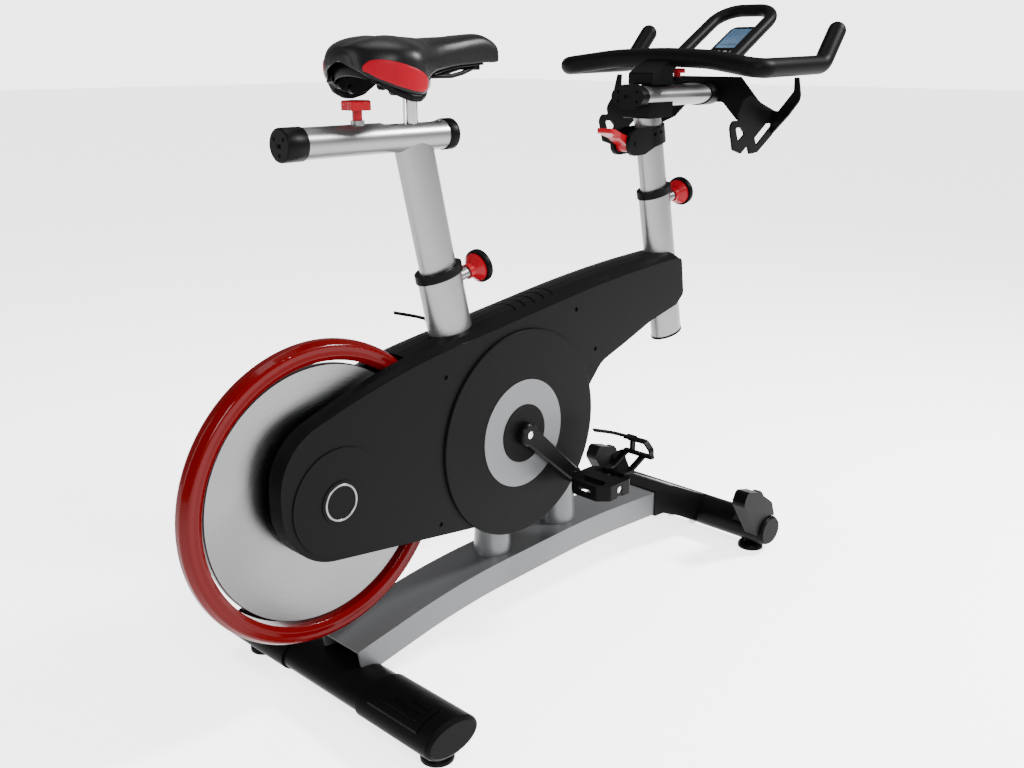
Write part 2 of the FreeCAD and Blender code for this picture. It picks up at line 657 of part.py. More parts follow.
def pedal_spindles():
    right = disc(PEDAL_X, CRANK_Z - PEDAL_DROP, PEDAL_BORE, -PEDAL_Y - 44, -ARM_INNER)
    left = disc(-PEDAL_X, CRANK_Z + PEDAL_DROP, PEDAL_BORE, ARM_INNER, PEDAL_Y + 44)
    return group(right, left)


def pedal(px, py, pz):
    """Platform pedal: a chamfered frame with two windows and a barrel round its spindle."""
    half_x, half_y, half_z = 46.0, 46.0, 14.0
    outline = [(px - half_x, py - 28, 6), (px - 28, py - half_y, 8), (px + 28, py - half_y, 8),
               (px + half_x, py - 28, 6), (px + half_x, py + 28, 6), (px + 28, py + half_y, 8),
               (px - 28, py + half_y, 8), (px - half_x, py + 28, 6)]
    body = top_plate(outline, pz - half_z, pz + half_z)
    for sign in (-1, 1):
        x0, x1 = sorted((px + sign * 15.5, px + sign * 37.0))
        window = top_plate([(x0, py - 34, 7), (x1, py - 26, 7), (x1, py + 26, 7), (x0, py + 34, 7)],
                           pz - half_z - 1, pz + half_z + 1)
        body = body.cut(window)
        body = body.cut(box(px - 8, px + 8, py + sign * 46 - 5, py + sign * 46 + 5, pz - 20, pz - 8))
        body = body.cut(box(px + sign * 46 - 12, px + sign * 46 + 12, py - 14, py + 14, pz - 6, pz + 5))
    barrel = disc(px, pz, 12.5, py - 45, py + 45)
    return fuse(body, barrel).cut(disc(px, pz, PEDAL_BORE + RUNNING, py - 60, py + 60))


def toe_clip(px, py, pz):
    """Cage on the pedal's front edge, with the strap looped over it and its free tail."""
    front = px + 46.0
    feet = []
    for dy in (-26.0, 14.0):
        feet.append(bent_strip([V(front - 18, py + dy, pz + 16.5), V(front + 6, py + dy, pz + 16.5),
                                V(front + 42, py + dy - 6, pz + 41)], [0, 12, 0], V(0, 1, 0), 12, 5))
    crossbar = box(front + 34, front + 44, py - 54, py + 12, pz + 38, pz + 44)
    outer = bent_strip([V(front + 39, py - 50, pz + 40), V(front + 36, py - 52, pz + 56),
                        V(front + 34, py - 40, pz + 70), V(front + 32, py - 4, pz + 70)],
                       [0, 10, 8, 0], V(1, 0, 0.1), 12, 4)
    inner = box(front + 33, front + 43, py - 10, py - 4, pz + 42, pz + 71)
    buckle = box(front + 27, front + 43, py - 13, py + 7, pz + 67.5, pz + 73)
    tail = bent_strip([V(front + 35, py + 4, pz + 70), V(front + 24, py + 30, pz + 74),
                       V(front - 10, py + 49, pz + 83)], [0, 40, 0], V(0.1, 0, 1), 4, 10)
    return fuse(*feet, crossbar, outer, inner, buckle, tail)


# ---- brake ----------------------------------------------------------------------------------
CALIPER_PIN = (AXLE_X + 226 * cos(radians(-6)), AXLE_Z + 226 * sin(radians(-6)))


def brake_caliper():
    """Magnet carrier that straddles the flywheel's rim inside the cover."""
    outer = disc(AXLE_X, AXLE_Z, 238, -15, 15).cut(disc(AXLE_X, AXLE_Z, 184, -16, 16))
    sector = side_plate([(AXLE_X, AXLE_Z, 0), (AXLE_X + 300, AXLE_Z - 48, 0), (AXLE_X + 300, AXLE_Z + 84, 0)],
                        -20, 20)
    shoe = outer.common(sector)
    gap = disc(AXLE_X, AXLE_Z, 217, -8.5, 8.5)
    pin = disc(CALIPER_PIN[0], CALIPER_PIN[1], 4, -SLOT_HALF - 3.5, SLOT_HALF + 3.5)
    return fuse(shoe.cut(gap), pin)


# ---- seat ------------------------------------------------------------------------------------
def seat_tube_space(extra=0.0):
    return Part.makeCylinder(SEAT_TUBE_R + extra, 400, V(-450, 0, SEAT_TUBE_Z), V(1, 0, 0))


def seat_post():
    outer = lean_oval(SEAT_POST, SEAT_FOOT, SEAT_LEAN, SEAT_POST_BOTTOM, 345)
    inner = lean_oval(grown(SEAT_POST, -3), SEAT_FOOT, SEAT_LEAN, SEAT_POST_BOTTOM - 1, 346)
    above = box(-450, 0, -60, 60, SEAT_TUBE_Z, SEAT_TUBE_Z + 100)
    return outer.cut(inner).cut(seat_tube_space()).cut(above)


def seat_slider_tube():
    x0, x1 = SEAT_TUBE_X
    tube = Part.makeCylinder(SEAT_TUBE_R, x1 - x0, V(x0, 0, SEAT_TUBE_Z), V(1, 0, 0))
    bore = Part.makeCylinder(SEAT_TUBE_R - 3, x1 - x0, V(x0, 0, SEAT_TUBE_Z), V(1, 0, 0))
    slot = top_plate([(-258, -12.3, 12.2), (-134, -12.3, 12.2), (-134, 12.3, 12.2), (-258, 12.3, 12.2)],
                     SEAT_TUBE_Z, SEAT_TUBE_Z + 40)
    boss = Part.makeCylinder(10.5, 8, V(SEAT_KNOB_X, 0, SEAT_TUBE_Z + SEAT_TUBE_R - 3))
    hole = Part.makeCylinder(5 + RUNNING, 40, V(SEAT_KNOB_X, 0, SEAT_TUBE_Z))
    return fuse(tube.cut(bore), boss.cut(Part.makeCylinder(SEAT_TUBE_R - 3, 400, V(-450, 0, SEAT_TUBE_Z),
                                                           V(1, 0, 0)))).cut(slot).cut(hole)


def tube_cap(x0, x1, end_x):
    """Round plastic cap over one end of the seat tube."""
    cap = Part.makeCylinder(SEAT_TUBE_R + 1.6, x1 - x0, V(x0, 0, SEAT_TUBE_Z), V(1, 0, 0))
    edge = [e for e in cap.Edges if e.Closed and abs(e.BoundBox.XMin - end_x) < 0.1]
    cap = cap.makeFillet(3, edge)
    start, end = SEAT_TUBE_X
    return cap.cut(Part.makeCylinder(SEAT_TUBE_R, end - start, V(start, 0, SEAT_TUBE_Z), V(1, 0, 0)))


def seat_tube_caps():
    rear = tube_cap(-422, -386, -422)
    recess = group(box(-423, -418, -5, 5, SEAT_TUBE_Z - 4, SEAT_TUBE_Z + 2),
                   Part.makeCylinder(3.2, 5, V(-423, -11, SEAT_TUBE_Z + 9), V(1, 0, 0)),
                   Part.makeCylinder(3.2, 5, V(-423, 11, SEAT_TUBE_Z + 9), V(1, 0, 0)),
                   Part.makeCylinder(3.2, 5, V(-423, 0, SEAT_TUBE_Z - 14), V(1, 0, 0)))
    return group(rear.cut(recess), tube_cap(-132, -112, -112))


CLAMP_Z = 992.0


def saddle_carriage():
    """Slider in the seat tube, the stem, and the clamp that grips the saddle's rails."""
    slider = Part.makeCylinder(SEAT_TUBE_R - 3.4, 56, V(STEM_X - 28, 0, SEAT_TUBE_Z), V(1, 0, 0))
    stem = Part.makeCylinder(STEM_R, CLAMP_Z - SEAT_TUBE_Z, V(STEM_X, 0, SEAT_TUBE_Z))
    clamp = disc(STEM_X, CLAMP_Z, 15, -32, 32)
    whole = fuse(slider, stem, clamp)
    grooves = both_sides(rod(V(STEM_X - 30, 24, CLAMP_Z + 8), V(STEM_X + 30, 24, CLAMP_Z + 8), RAIL_R))
    return whole.cut(grooves)


RAIL_R = 3.6


def saddle_rails():
    z = CLAMP_Z + 8
    rail = bent_tube([V(-288, 26, 1011), V(-262, 24, z), V(-130, 24, z), V(-104, 20, z + 4),
                      V(-62, 12, 1015)], [0, 20, 30, 20, 0], RAIL_R)
    return both_sides(rail)


def wall_scale(half):
    """Walls get thinner towards the narrow nose."""
    return min(1.0, half / 60.0)


def saddle_section(x, half, top, skirt, under):
    k = wall_scale(half)
    roll = min(1.0, half / 45.0)
    right = [(0.0, top), (0.55 * half, top - 2 * roll), (0.86 * half, top - 11 * roll),
             (half, top - 27 * roll), (half, skirt + 6 * k),
             (half - 5 * k, skirt), (half - 13 * k, skirt + 4), (half - 16 * k, under - 4), (0.4 * half, under)]
    left = [(-y, z) for y, z in reversed(right[1:])]
    return Part.makePolygon([V(x, y, z) for y, z in right + left + right[:1]])


def base_section(x, half, top, skirt, under):
    """Shell section: it lines the cushion's inside and stands out below the skirt."""
    k = wall_scale(half)
    right = [(0.0, under - 0.6), (0.4 * half, under - 0.6), (half - 16.6 * k, under - 4.6),
             (half - 13.6 * k, skirt + 3.2), (half - 5 * k, skirt - 0.8), (half - 2 * k, skirt - 2),
             (half - 4 * k, skirt - 3), (half - 10 * k, skirt - 3), (half - 17 * k, skirt - 1),
             (half - 20 * k, under - 8), (0.4 * half, under - 4.2), (0.0, under - 4.2)]
    left = [(-y, z) for y, z in reversed(right[1:-1])]
    return Part.makePolygon([V(x, y, z) for y, z in right + left + right[:1]])


# x, half width, top, bottom of the skirt, underside
SADDLE = [(-326, 30, 1036, 1014, 1022), (-308, 62, 1052, 996, 1024), (-286, 79, 1056, 985, 1024),
          (-262, 86, 1057, 978, 1024), (-244, 85, 1056, 976, 1023), (-228, 77, 1055, 979, 1023),
          (-210, 63, 1055, 997, 1024), (-186, 50, 1055, 1006, 1026), (-152, 37, 1057, 1011, 1028),
          (-120, 31, 1059, 1015, 1031), (-60, 25, 1063, 1019, 1035), (-24, 20, 1050, 1019, 1032),
          (-15, 12, 1038, 1024, 1031)]


def saddle_cushion():
    return Part.makeLoft([saddle_section(*row) for row in SADDLE], True, True)


def saddle_base():
    """Plastic shell under the cushion, with the sockets that the rails plug into."""
    shell = Part.makeLoft([base_section(*row) for row in SADDLE[1:11]], True, True)
    sockets = [box(-300, -276, y - 9, y + 9, 1003, 1021) for y in (26, -26)]
    nose = box(-78, -62, -17, 17, 1008, 1031)
    lumps = []
    for x, z in ((-290, 990), (-268, 982)):
        lumps.append(rod(V(x, -52, z), V(x, -44, z), 7))
        lumps.append(rod(V(x, 44, z), V(x, 52, z), 7))
    return fuse(shell, *sockets, nose, *lumps).cut(saddle_cushion()).cut(saddle_rails())


def star_knob(radius, base, height):
    """Five-lobed clamp knob on a stem, drawn about the Z axis from its seat upwards."""
    head = Part.makeCylinder(radius - 3, height, V(0, 0, base))
    for k in range(5):
        a = radians(72 * k)
        head = head.fuse(Part.makeCylinder(radius * 0.38, height, V(radius * 0.62 * cos(a), radius * 0.62 * sin(a), base)))
    head = head.removeSplitter()
    top = [e for e in head.Edges if e.BoundBox.ZMin > base + height - 0.1]
    return head.makeFillet(2.5, top)


def seat_clamp_knob():
    seat = SEAT_TUBE_Z + SEAT_TUBE_R + 5
    stem = Part.makeCylinder(7.5, 16, V(0, 0, 0.3))
    screw = Part.makeCylinder(5, 12, V(0, 0, -7))
    knob = fuse(star_knob(23, 15, 14), stem, screw)
    knob.translate(V(SEAT_KNOB_X, 0, seat))
    return knob


def pin_knob(foot, lean, sleeve_half, s):
    """Pull pin: steel pin, flared grip and end disc, along the sleeve's forward normal."""
    waist = Part.makeCylinder(13, 10, V(0, 0, 16.4))
    flare = Part.makeCone(13, 24, 11, V(0, 0, 26))
    rim = Part.makeCylinder(24, 5, V(0, 0, 36.9))
    end = Part.makeCylinder(28, 11, V(0, 0, 41))
    end = end.makeFillet(3, [e for e in end.Edges if e.Closed and len(e.Vertexes) == 1])
    pin = Part.makeCylinder(5, 28, V(0, 0, -4))
    knob = fuse(waist, flare, rim, end, pin)
    knob.rotate(V(0, 0, 0), V(0, 1, 0), 90 - lean)
    base = lean_point(foot, lean, s, sleeve_half)
    knob.translate(base)
    return knob


# ---- handlebar --------------------------------------------------------------------------------
def head_tube_space(extra=0.0):
    return oval_x(grown(HEAD_TUBE, extra), HEAD_TUBE_X[0], HEAD_TUBE_X[1], HEAD_TUBE_Z)


HEAD_BLOCK = [(368, 914, 4), (368, 946, 0), (444, 946, 0), (444, 916, 4)]


def head_post():
    outer = lean_oval(HEAD_POST, HEAD_FOOT, HEAD_LEAN, HEAD_POST_BOTTOM, HEAD_POST_TOP)
    inner = lean_oval(grown(HEAD_POST, -3), HEAD_FOOT, HEAD_LEAN, HEAD_POST_BOTTOM - 1, HEAD_POST_TOP + 1)
    return outer.cut(inner).cut(head_tube_space()).cut(side_plate(HEAD_BLOCK, -31, 31))


def head_slider_tube():
    tube = head_tube_space().cut(oval_x(grown(HEAD_TUBE, -3), 300, 700, HEAD_TUBE_Z))
    slot = top_plate([(356, -12.3, 12), (484, -12.3, 12), (484, 12.3, 12), (356, 12.3, 12)],
                     HEAD_TUBE_Z, HEAD_TUBE_Z + 60)
    return tube.cut(slot)


def head_tube_fittings():
    """End caps of the head tube and the block between the tube and its post."""
    rear = oval_x(grown(HEAD_TUBE, 2), 341, 361, HEAD_TUBE_Z)
    rear = rear.cut(head_tube_space())
    screws = [Part.makeCylinder(2.6, 4, V(340, sy * 22, HEAD_TUBE_Z + sz * 9), V(1, 0, 0))
              for sy in (-1, 1) for sz in (-1, 1)]
    rear = rear.cut(group(*screws)).cut(box(340, 344, -8, 8, HEAD_TUBE_Z - 3, HEAD_TUBE_Z + 3))
    front = oval_x(grown(HEAD_TUBE, 2.5), 566, 598, HEAD_TUBE_Z).cut(head_tube_space())
    block = side_plate(HEAD_BLOCK, -31, 31).cut(head_tube_space())
    return group(rear, front, block)


LEVER_PIN = (344.0, 868.0)


def lever_bracket():
    """Clip round the head post with two cheeks that carry the lever's pin."""
    s0, s1 = 397.0, 430.0
    clip = lean_oval(grown(HEAD_POST, 6), HEAD_FOOT, HEAD_LEAN, s0, s1)
    cheek = side_plate([(322, 846, 20), (372, 848, 8), (424, 868, 4), (420, 900, 6), (352, 898, 14),
                        (322, 888, 20)], 15, 23)
    pin = disc(LEVER_PIN[0], LEVER_PIN[1], 5, -24.5, 24.5)
    body = fuse(clip, cheek, mirrored(cheek), pin)
    post = lean_oval(HEAD_POST, HEAD_FOOT, HEAD_LEAN, HEAD_POST_BOTTOM, HEAD_POST_TOP)
    dimples = both_sides(group(disc(400, 884, 3.5, 21, 30), disc(417, 888, 3.5, 18, 30)))
    return body.cut(post).cut(dimples)


def resistance_lever():
    px, pz = LEVER_PIN
    hub = disc(px, pz, 15, -14.5, 14.5)
    paddle = side_plate([(px - 4, pz - 12, 0), (px - 10, pz + 14, 8), (px - 40, pz + 24, 20),
                         (px - 68, pz + 33, 3), (px - 70, pz + 24, 3), (px - 42, pz + 14, 20),
                         (px - 16, pz - 2, 8)], -14.5, 14.5)
    flare = top_plate([(px - 71, -20, 8), (px - 30, -14.5, 10), (px - 30, 14.5, 10), (px - 71, 20, 8)],
                      pz - 20, pz + 60)
    tip = side_plate([(px - 26, pz + 8, 0), (px - 26, pz + 19, 0), (px - 40, pz + 24, 20), (px - 68, pz + 33, 3),
                      (px - 70, pz + 24, 3), (px - 42, pz + 14, 20)], -20, 20).common(flare)
    return fuse(hub, paddle, tip).cut(disc(px, pz, 5 + RUNNING, -30, 30))


# Bottle holder. Wing and arm: y, z, corner radius. Hook plate and its windows: x, z, corner radius.
HOLDER_X = 598.3
HOOK_Y = (155.0, 159.0)
WING = [(-81, 988, 3), (-126, 941, 45), (-159, 926, 0), (-159, 904, 0), (-140, 904, 6), (-112, 890, 12),
        (-75, 906, 8), (-42, 938, 6)]
ARM = [(-155, 926, 0), (-173, 925, 3), (-211, 964, 4), (-210, 989, 1), (-220, 989, 1), (-229, 950, 22),
       (-200, 918, 8), (-159, 881, 0), (-155, 881, 0)]
ARM_SWEEP = 14.5
HOOKS = [(602, 926, 0), (561, 938, 40), (520, 956, 14), (497, 950, 8), (474, 925, 14), (481, 911, 3),
         (446, 914, 14), (464, 858, 4), (491, 850, 3), (514, 864, 1.5), (523, 847, 3), (550, 849, 6),
         (602, 880, 0)]
HOOK_WINDOWS = [[(469, 899, 3), (487, 899, 8), (503, 886, 4), (480, 873, 2)],
                [(576, 902, 3), (596, 902, 2), (596, 896, 2), (545, 862, 2), (537, 877, 3)]]


def bottle_holder():
    """Bent sheet on the head tube's front end: on each side a wing, a plate with two hooks, and an arm."""
    wings = WING + [(-y, z, radius) for y, z, radius in reversed(WING)]
    hooks = side_plate(HOOKS, HOOK_Y[0], HOOK_Y[1])
    for window in HOOK_WINDOWS:
        hooks = hooks.cut(side_plate(window, 100, 200))
    arm = front_plate([(-y, z, radius) for y, z, radius in ARM], HOLDER_X, HOLDER_X + 4)
    arm.rotate(V(HOLDER_X + 2, HOOK_Y[0], 0), V(0, 0, 1), ARM_SWEEP)
    side = fuse(hooks, arm)
    return fuse(front_plate(wings, HOLDER_X, HOLDER_X + 4), side, mirrored(side))


def handlebar_carriage():
    """Riser block under the bar, with its neck and slider in the head tube."""
    top = HEAD_TUBE_Z + HEAD_TUBE[1]
    block = side_plate([(380, top + 0.4, 3), (380, top + 22, 6), (424, 1018, 14), (BAR_X, 1026, 0),
                        (BAR_X + 8, 1012, 0), (444, top + 24, 4), (444, top + 0.4, 0)], -29, 29)
    foot = box(440, 512, -14, 14, top + 0.4, top + 6)
    neck = box(398, 440, -11.5, 11.5, 962, top + 1)
    slider = box(392, 446, -22, 22, 957, 968)
    bushing = Part.makeCylinder(10, 6, V(497, 0, top + 6))
    hole = Part.makeCylinder(4 + RUNNING, 60, V(497, 0, top - 20))
    return fuse(block, foot, neck, slider, bushing).cut(hole).cut(crossbar())


def bar_point(y):
    """Middle line of the arched crossbar."""
    share = (y / BAR_HALF) ** 2
    return V(BAR_X - BAR_SWEEP * share, y, BAR_Z + BAR_RISE * (1 - share))


def bar_path():
    tip_x, tip_z = HORN_TIP
    right = [V(tip_x, 226, tip_z), V(645, BAR_HALF, BAR_Z + 2), V(BAR_X - BAR_SWEEP, BAR_HALF, BAR_Z - 3),
             bar_point(110)]
    left = [V(p.x, -p.y, p.z) for p in reversed(right)]
    return right + [bar_point(0)] + left


def crossbar():
    return bent_tube(bar_path(), [0, 34, 25, 300, 500, 300, 25, 34, 0], BAR_R)


def handlebar():
    bar = crossbar()
    ends = [Part.makeSphere(BAR_R, V(HORN_TIP[0], y, HORN_TIP[1])) for y in (226, -226)]
    return fuse(bar, *ends)


def loop_point(t, y):
    a = radians(LOOP_TILT)
    return V(606 + t * cos(a), y, 1034 + t * sin(a))


def aero_loop():
    """Forward grip loop, clamped to the crossbar's front."""
    path = [V(BAR_X, LOOP_HALF, 1020), V(580, LOOP_HALF, 1019), loop_point(167, LOOP_HALF),
            loop_point(167, -LOOP_HALF), V(580, -LOOP_HALF, 1019), V(BAR_X, -LOOP_HALF, 1020)]
    loop = bent_tube(path, [0, 60, 48, 48, 60, 0], LOOP_R)
    return loop.cut(crossbar())


def tilted(shape, t, drop):
    """Place a shape drawn flat about the origin on the console's slope."""
    shape.rotate(V(0, 0, 0), V(0, 1, 0), -LOOP_TILT)
    a = radians(LOOP_TILT)
    shape.translate(loop_point(t, 0) + V(sin(a), 0, -cos(a)) * drop)
    return shape


CONSOLE_T = 79.0
CONSOLE_DROP = 20.0
KEYS_Y = (-22.5, -7.5, 7.5, 22.5)


def console():
    """Computer housing between the loop's legs, with its lens recess, on an arm from the carriage."""
    outline = [(-64, -33, 10), (58, -31, 14), (58, 31, 14), (-64, 33, 10)]
    case = top_plate(outline, -24, 0)
    case = case.cut(box(-26, 50, -26.5, 26.5, -2, 1))
    for y in KEYS_Y:
        case = case.cut(Part.makeCylinder(4.3, 6, V(-42, y, -4)))
    whole = tilted(case, CONSOLE_T, CONSOLE_DROP)
    foot = side_plate([(BAR_X + 18, 1009, 0), (BAR_X + 18, 1022, 4), (622, 1021, 3), (655, 1030, 3),
                       (655, 1014, 6), (596, 1008, 6)], -24, 24)
    return fuse(whole, foot)


def console_lens():
    return tilted(box(-25.7, 49.7, -26.2, 26.2, -2, -0.4), CONSOLE_T, CONSOLE_DROP)


def console_key(y):
    key = Part.makeCylinder(4, 3.6, V(-42, y, -2.4))
    key = key.makeFillet(0.8, [e for e in key.Edges if e.Closed and e.BoundBox.ZMin > 1])
    return tilted(key, CONSOLE_T, CONSOLE_DROP)


def handlebar_clamp_knob():
    seat = HEAD_TUBE_Z + HEAD_TUBE[1] + 12
    stem = Part.makeCylinder(7, 8, V(0, 0, 0.3))
    screw = Part.makeCylinder(4, 12, V(0, 0, -11))
    knob = fuse(star_knob(16, 8, 9), stem, screw)
    knob.translate(V(497, 0, seat))
    return knob


# ---- save --------------------------------------------------------------------------------------
DRIVE_COVER = drive_cover()

NODES = {
    "base_beam": base_beam(),
    "main_frame": main_frame(),
    "post_sleeves": post_sleeves(),
    "sleeve_collars": sleeve_collars(),
    "rear_stabilizer": rear_stabilizer(),
    "front_stabilizer": front_stabilizer(),
    "end_caps": end_caps(),
    "wheel_housings": both_sides(wheel_housing()),
    "stabilizer_bolts": stabilizer_bolts(),
    "drive_cover_right": drive_cover_right(),
    "drive_cover_left": drive_cover_left(),
    "cover_plates": cover_plates(),
    "trim_rings": trim_rings(),
    "guard_ring": guard_ring(),
    "bearings": bearings(),
    "drive_belt": drive_belt(),
    "crank_spindle": crank_spindle(),
    "crank_arm_right": crank_arm(-1),
    "crank_arm_left": crank_arm(1),
    "drive_pulley": drive_pulley(),
    "pedal_spindles": pedal_spindles(),
    "pedal_right": pedal(PEDAL_X, -PEDAL_Y, CRANK_Z - PEDAL_DROP),
    "toe_clip_right": toe_clip(PEDAL_X, -PEDAL_Y, CRANK_Z - PEDAL_DROP),
    "pedal_left": pedal(-PEDAL_X, PEDAL_Y, CRANK_Z + PEDAL_DROP),
    "toe_clip_left": toe_clip(-PEDAL_X, PEDAL_Y, CRANK_Z + PEDAL_DROP),
    "flywheel": flywheel(),
    "flywheel_pulley": flywheel_pulley(),
    "brake_caliper": brake_caliper(),
    "seat_post": seat_post(),
    "seat_slider_tube": seat_slider_tube(),
    "seat_tube_caps": seat_tube_caps(),
    "saddle_carriage": saddle_carriage(),
    "saddle_rails": saddle_rails(),
    "saddle_base": saddle_base(),
    "saddle_cushion": saddle_cushion(),
    "seat_clamp_knob": seat_clamp_knob(),
    "seat_pin_knob": pin_knob(SEAT_FOOT, SEAT_LEAN, SEAT_SLEEVE[0], SEAT_PIN),
    "head_post": head_post(),
    "head_slider_tube": head_slider_tube(),
    "head_tube_fittings": head_tube_fittings(),
    "lever_bracket": lever_bracket(),
    "resistance_lever": resistance_lever(),
    "bottle_holder": bottle_holder(),
    "head_pin_knob": pin_knob(HEAD_FOOT, HEAD_LEAN, HEAD_SLEEVE[0], HEAD_PIN),
    "handlebar": handlebar(),
    "aero_loop": aero_loop(),
    "handlebar_carriage": handlebar_carriage(),
    "handlebar_clamp_knob": handlebar_clamp_knob(),
    "console": console(),
    "console_lens": console_lens(),
    "transport_wheel_left": transport_wheel(),
    "transport_wheel_right": mirrored(transport_wheel()),
}
for name, x, y in (("foot_rear_left", REAR_X, REAR_FOOT_Y), ("foot_rear_right", REAR_X, -REAR_FOOT_Y),
                   ("foot_front_left", FRONT_X, FRONT_FOOT_Y), ("foot_front_right", FRONT_X, -FRONT_FOOT_Y)):
    NODES[name] = levelling_foot(x, y)
for number, y in enumerate(KEYS_Y, start=1):
    NODES["console_key_%d" % number] = console_key(y)

os.makedirs("parts", exist_ok=True)
for name, shape in NODES.items():
    placed = shape.copy()
    placed.translate(V(CRANK_X, 0, 0))
    placed.exportStep("parts/" + name + ".step")
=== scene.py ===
import json
import math

import bmesh
import bpy
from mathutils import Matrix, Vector
from mathutils.bvhtree import BVHTree


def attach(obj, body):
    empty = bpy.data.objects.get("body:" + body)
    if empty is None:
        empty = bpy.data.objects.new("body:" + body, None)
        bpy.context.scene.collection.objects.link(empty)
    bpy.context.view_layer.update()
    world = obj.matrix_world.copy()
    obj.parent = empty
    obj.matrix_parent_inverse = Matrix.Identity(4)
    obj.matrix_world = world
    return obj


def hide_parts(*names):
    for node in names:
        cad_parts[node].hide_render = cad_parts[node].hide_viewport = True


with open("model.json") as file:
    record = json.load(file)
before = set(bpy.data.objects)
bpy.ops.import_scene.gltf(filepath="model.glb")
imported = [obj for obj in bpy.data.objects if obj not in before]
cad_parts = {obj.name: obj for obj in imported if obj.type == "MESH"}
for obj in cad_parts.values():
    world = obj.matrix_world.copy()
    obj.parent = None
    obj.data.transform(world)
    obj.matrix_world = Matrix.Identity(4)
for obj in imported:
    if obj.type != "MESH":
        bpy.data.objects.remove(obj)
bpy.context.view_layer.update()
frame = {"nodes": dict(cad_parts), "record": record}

# The CAD's drawing measures X from the crank axle, in millimetres; the frame has it here.
CRANK_X = -57.0
FLYWHEEL_X = -403.0
FLYWHEEL_Z = 379.0


def at(x, y, z):
    """A point of the drawing, in the frame's metres."""
    return Vector((x + CRANK_X, y, z)) * 0.001


# ---- materials -----------------------------------------------------------------------------
def new_material(name, color, roughness, metallic=0.0, **sockets):
    material = bpy.data.materials.new(name)
    material.use_nodes = True
    shader = material.node_tree.nodes["Principled BSDF"]
    shader.inputs["Base Color"].default_value = (*color, 1.0)
    shader.inputs["Roughness"].default_value = roughness
    shader.inputs["Metallic"].default_value = metallic
    for socket, value in sockets.items():
        shader.inputs[socket.replace("_", " ")].default_value = value
    return material


def link(material, source, target):
    material.node_tree.links.new(source, target)


def object_coordinates(material, scale=(1, 1, 1), location=(0, 0, 0)):
    nodes = material.node_tree.nodes
    coordinates = nodes.new("ShaderNodeTexCoord")
    mapping = nodes.new("ShaderNodeMapping")
    mapping.inputs["Scale"].default_value = scale
    mapping.inputs["Location"].default_value = location
    link(material, coordinates.outputs["Object"], mapping.inputs["Vector"])
    return mapping.outputs["Vector"]


def add_grain(material, scale, height, detail=3.0, stretch=(1, 1, 1)):
    """Fine surface relief from noise."""
    nodes = material.node_tree.nodes
    noise = nodes.new("ShaderNodeTexNoise")
    noise.inputs["Scale"].default_value = scale
    noise.inputs["Detail"].default_value = detail
    link(material, object_coordinates(material, stretch), noise.inputs["Vector"])
    bump = nodes.new("ShaderNodeBump")
    bump.inputs["Strength"].default_value = 1.0
    bump.inputs["Distance"].default_value = height
    link(material, noise.outputs["Fac"], bump.inputs["Height"])
    link(material, bump.outputs["Normal"], nodes["Principled BSDF"].inputs["Normal"])
    return material


def add_leather_grain(material, scale, height):
    """Pebbled relief from cells."""
    nodes = material.node_tree.nodes
    cells = nodes.new("ShaderNodeTexVoronoi")
    cells.inputs["Scale"].default_value = scale
    link(material, object_coordinates(material), cells.inputs["Vector"])
    bump = nodes.new("ShaderNodeBump")
    bump.inputs["Strength"].default_value = 1.0
    bump.inputs["Distance"].default_value = height
    link(material, cells.outputs["Distance"], bump.inputs["Height"])
    link(material, bump.outputs["Normal"], nodes["Principled BSDF"].inputs["Normal"])
    return material


def add_turned_lines(material):
    """Brush lines that run round the flywheel: noise taken along its radius."""
    nodes = material.node_tree.nodes
    centre = at(FLYWHEEL_X, 0, FLYWHEEL_Z)
    position = object_coordinates(material, (1, 1, 1), (-centre.x, 0, -centre.z))
    flat = nodes.new("ShaderNodeVectorMath")
    flat.operation = "MULTIPLY"
    flat.inputs[1].default_value = (1, 0, 1)
    link(material, position, flat.inputs[0])
    length = nodes.new("ShaderNodeVectorMath")
    length.operation = "LENGTH"
    link(material, flat.outputs["Vector"], length.inputs[0])
    noise = nodes.new("ShaderNodeTexNoise")
    noise.noise_dimensions = "1D"
    noise.inputs["Scale"].default_value = 900.0
    noise.inputs["Detail"].default_value = 6.0
    noise.inputs["Roughness"].default_value = 0.7
    link(material, length.outputs["Value"], noise.inputs["W"])
    ramp = nodes.new("ShaderNodeMapRange")
    ramp.inputs["To Min"].default_value = 0.16
    ramp.inputs["To Max"].default_value = 0.46
    link(material, noise.outputs["Fac"], ramp.inputs["Value"])
    link(material, ramp.outputs["Result"], nodes["Principled BSDF"].inputs["Roughness"])
    bump = nodes.new("ShaderNodeBump")
    bump.inputs["Strength"].default_value = 0.5
    bump.inputs["Distance"].default_value = 0.0002
    link(material, noise.outputs["Fac"], bump.inputs["Height"])
    link(material, bump.outputs["Normal"], nodes["Principled BSDF"].inputs["Normal"])
    tangent = nodes.new("ShaderNodeTangent")
    tangent.direction_type = "RADIAL"
    tangent.axis = "Y"
    link(material, tangent.outputs["Tangent"], nodes["Principled BSDF"].inputs["Tangent"])
    return material


# Specular level of the dark and coloured plastics, of the satin parts, and of bare metal.
MATT = 0.03
SATIN = 0.3
METAL = 0.5

